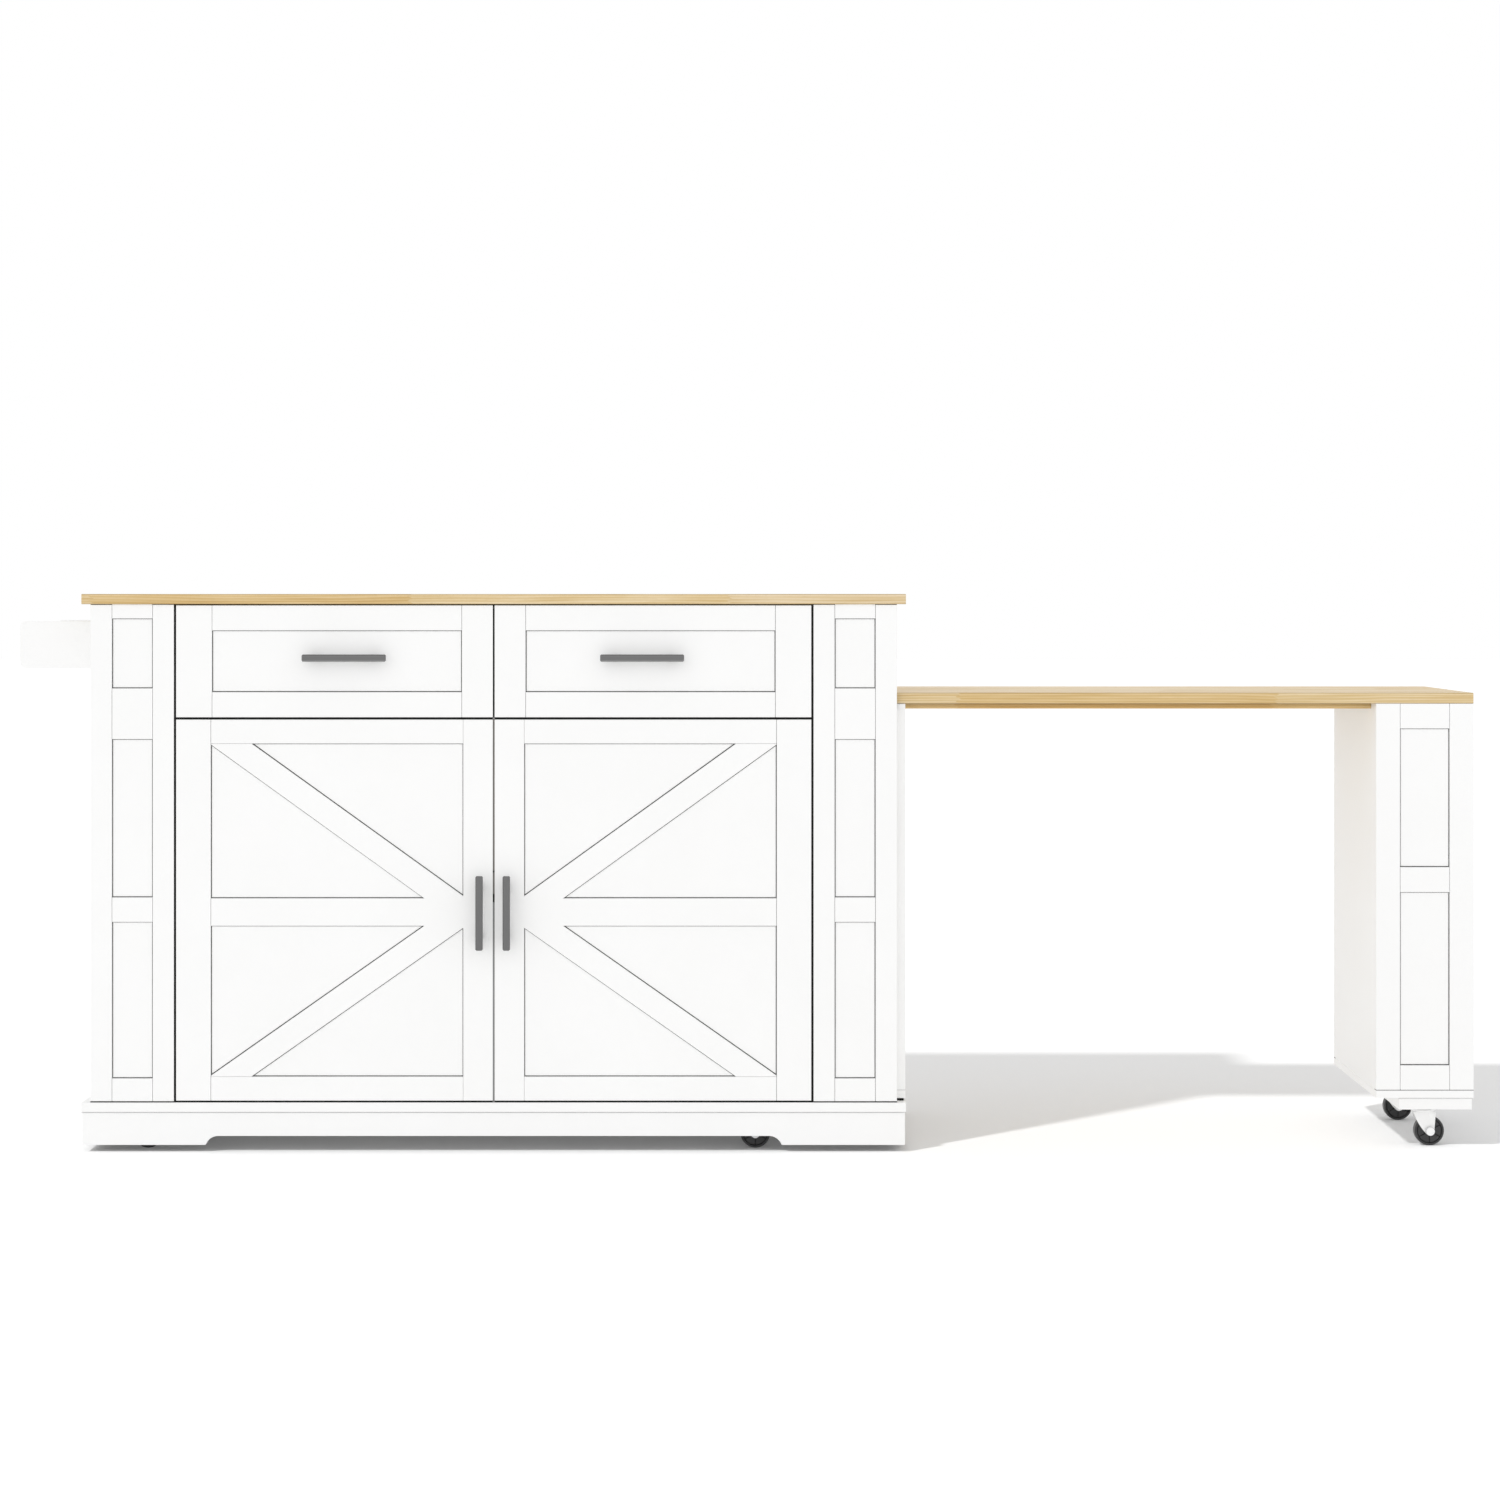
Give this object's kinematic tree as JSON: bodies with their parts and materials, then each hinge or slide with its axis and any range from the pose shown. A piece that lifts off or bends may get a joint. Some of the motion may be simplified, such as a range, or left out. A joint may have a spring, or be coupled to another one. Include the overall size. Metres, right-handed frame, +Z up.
{
  "type": "kitchen island",
  "caption": "Rolling kitchen island with drawers over braced doors, a side rack and a pull-out dining table on a wheeled leg box.",
  "frame": {"origin": "on the floor, under the middle of the whole object's bounding box with the table pulled out", "axes": "+X to the right along the table's travel, +Y from the front with the doors to the back, +Z up"},
  "size_m": [2.452, 0.495, 0.934],
  "materials": {
    "white_paint": "satin white paint on fibreboard",
    "butcher_block": "finger-jointed light hardwood with a clear satin coat",
    "drawer_ply": "clear-coated plywood",
    "handle_metal": "satin grey",
    "zinc_steel": "bright zinc plate",
    "fork_paint": "gloss white",
    "wheel_rubber": "moulded, satin",
    "catch_plastic": "moulded, matte"
  },
  "bodies": {
    "cabinet": {"worktop": "butcher_block", "deck_board": "white_paint", "front_plinth": "white_paint", "side_plinths": "white_paint", "back_plinth": "white_paint", "left_post": "white_paint", "right_post": "white_paint", "left_side_panel": "white_paint", "right_side_panels": "white_paint", "back_panel": "white_paint", "table_bed": "white_paint", "side_partitions": "white_paint", "centre_partition": "white_paint", "drawer_walls": "white_paint", "shelves": "white_paint", "shelf_pins": "zinc_steel", "cabinet_runners": "zinc_steel", "hinge_plates": "zinc_steel", "magnetic_catch": "catch_plastic", "side_support_panel": "white_paint", "rack_end_boards": "white_paint", "rack_tray": "white_paint", "caster_plates": "fork_paint"},
    "left_door": {"left_door_panel": "white_paint", "left_door_trim": "white_paint", "left_door_handle": "handle_metal", "left_door_hardware": "zinc_steel"},
    "left_drawer": {"left_drawer_front": "white_paint", "left_drawer_trim": "white_paint", "left_drawer_box": "drawer_ply", "left_drawer_handle": "handle_metal", "left_drawer_runners": "zinc_steel"},
    "right_door": {"right_door_panel": "white_paint", "right_door_trim": "white_paint", "right_door_handle": "handle_metal", "right_door_hardware": "zinc_steel"},
    "right_drawer": {"right_drawer_front": "white_paint", "right_drawer_trim": "white_paint", "right_drawer_box": "drawer_ply", "right_drawer_handle": "handle_metal", "right_drawer_runners": "zinc_steel"},
    "table": {"table_top": "butcher_block", "table_battens": "butcher_block", "leg_box_sides": "white_paint", "leg_box_fronts": "white_paint", "leg_box_base": "white_paint", "caster_board": "white_paint", "table_caster_plates": "fork_paint"},
    "front_left_fork": {"fork_front_left": "fork_paint"},
    "front_left_wheel": {"wheel_front_left": "wheel_rubber"},
    "front_right_fork": {"fork_front_right": "fork_paint"},
    "front_right_wheel": {"wheel_front_right": "wheel_rubber"},
    "back_left_fork": {"fork_back_left": "fork_paint"},
    "back_left_wheel": {"wheel_back_left": "wheel_rubber"},
    "back_right_fork": {"fork_back_right": "fork_paint"},
    "back_right_wheel": {"wheel_back_right": "wheel_rubber"},
    "table_front_fork": {"fork_table_front": "fork_paint"},
    "table_front_wheel": {"wheel_table_front": "wheel_rubber"},
    "table_back_fork": {"fork_table_back": "fork_paint"},
    "table_back_wheel": {"wheel_table_back": "wheel_rubber"}
  },
  "joints": [
    {"name": "left_door_hinge", "type": "hinge", "parent": "cabinet", "child": "left_door", "pos_m": [-0.9525, -0.2195, 0.40535], "axis": [0, 0, -1], "range_deg": [0, 110]},
    {"name": "left_drawer_slide", "type": "slide", "parent": "cabinet", "child": "left_drawer", "axis": [0, -1, 0], "range_m": [0, 0.3]},
    {"name": "right_door_hinge", "type": "hinge", "parent": "cabinet", "child": "right_door", "pos_m": [0.1145, -0.2195, 0.40535], "axis": [0, 0, 1], "range_deg": [0, 110]},
    {"name": "right_drawer_slide", "type": "slide", "parent": "cabinet", "child": "right_drawer", "axis": [0, -1, 0], "range_m": [0, 0.3]},
    {"name": "table_slide", "type": "slide", "parent": "cabinet", "child": "table", "axis": [-1, 0, 0], "range_m": [0, 0.785]},
    {"name": "front_left_swivel", "type": "hinge", "parent": "cabinet", "child": "front_left_fork", "pos_m": [-1.014, -0.1655, 0.0592], "axis": [0, 0, 1], "continuous": true},
    {"name": "front_left_roll", "type": "hinge", "parent": "front_left_fork", "child": "front_left_wheel", "pos_m": [-1.005, -0.1655, 0.025], "axis": [0, 1, 0], "continuous": true},
    {"name": "front_right_swivel", "type": "hinge", "parent": "cabinet", "child": "front_right_fork", "pos_m": [0.01, -0.1655, 0.0592], "axis": [0, 0, 1], "continuous": true},
    {"name": "front_right_roll", "type": "hinge", "parent": "front_right_fork", "child": "front_right_wheel", "pos_m": [0.019, -0.1655, 0.025], "axis": [0, 1, 0], "continuous": true},
    {"name": "back_left_swivel", "type": "hinge", "parent": "cabinet", "child": "back_left_fork", "pos_m": [-1.014, 0.1905, 0.0592], "axis": [0, 0, 1], "continuous": true},
    {"name": "back_left_roll", "type": "hinge", "parent": "back_left_fork", "child": "back_left_wheel", "pos_m": [-1.005, 0.1905, 0.025], "axis": [0, 1, 0], "continuous": true},
    {"name": "back_right_swivel", "type": "hinge", "parent": "cabinet", "child": "back_right_fork", "pos_m": [0.01, 0.1905, 0.0592], "axis": [0, 0, 1], "continuous": true},
    {"name": "back_right_roll", "type": "hinge", "parent": "back_right_fork", "child": "back_right_wheel", "pos_m": [0.019, 0.1905, 0.025], "axis": [0, 1, 0], "continuous": true},
    {"name": "table_front_swivel", "type": "hinge", "parent": "table", "child": "table_front_fork", "pos_m": [1.152, -0.1405, 0.0592], "axis": [0, 0, 1], "continuous": true},
    {"name": "table_front_roll", "type": "hinge", "parent": "table_front_fork", "child": "table_front_wheel", "pos_m": [1.161, -0.1405, 0.025], "axis": [0, 1, 0], "continuous": true},
    {"name": "table_back_swivel", "type": "hinge", "parent": "table", "child": "table_back_fork", "pos_m": [1.152, 0.1435, 0.0592], "axis": [0, 0, 1], "continuous": true},
    {"name": "table_back_roll", "type": "hinge", "parent": "table_back_fork", "child": "table_back_wheel", "pos_m": [1.161, 0.1435, 0.025], "axis": [0, 1, 0], "continuous": true}
  ]
}
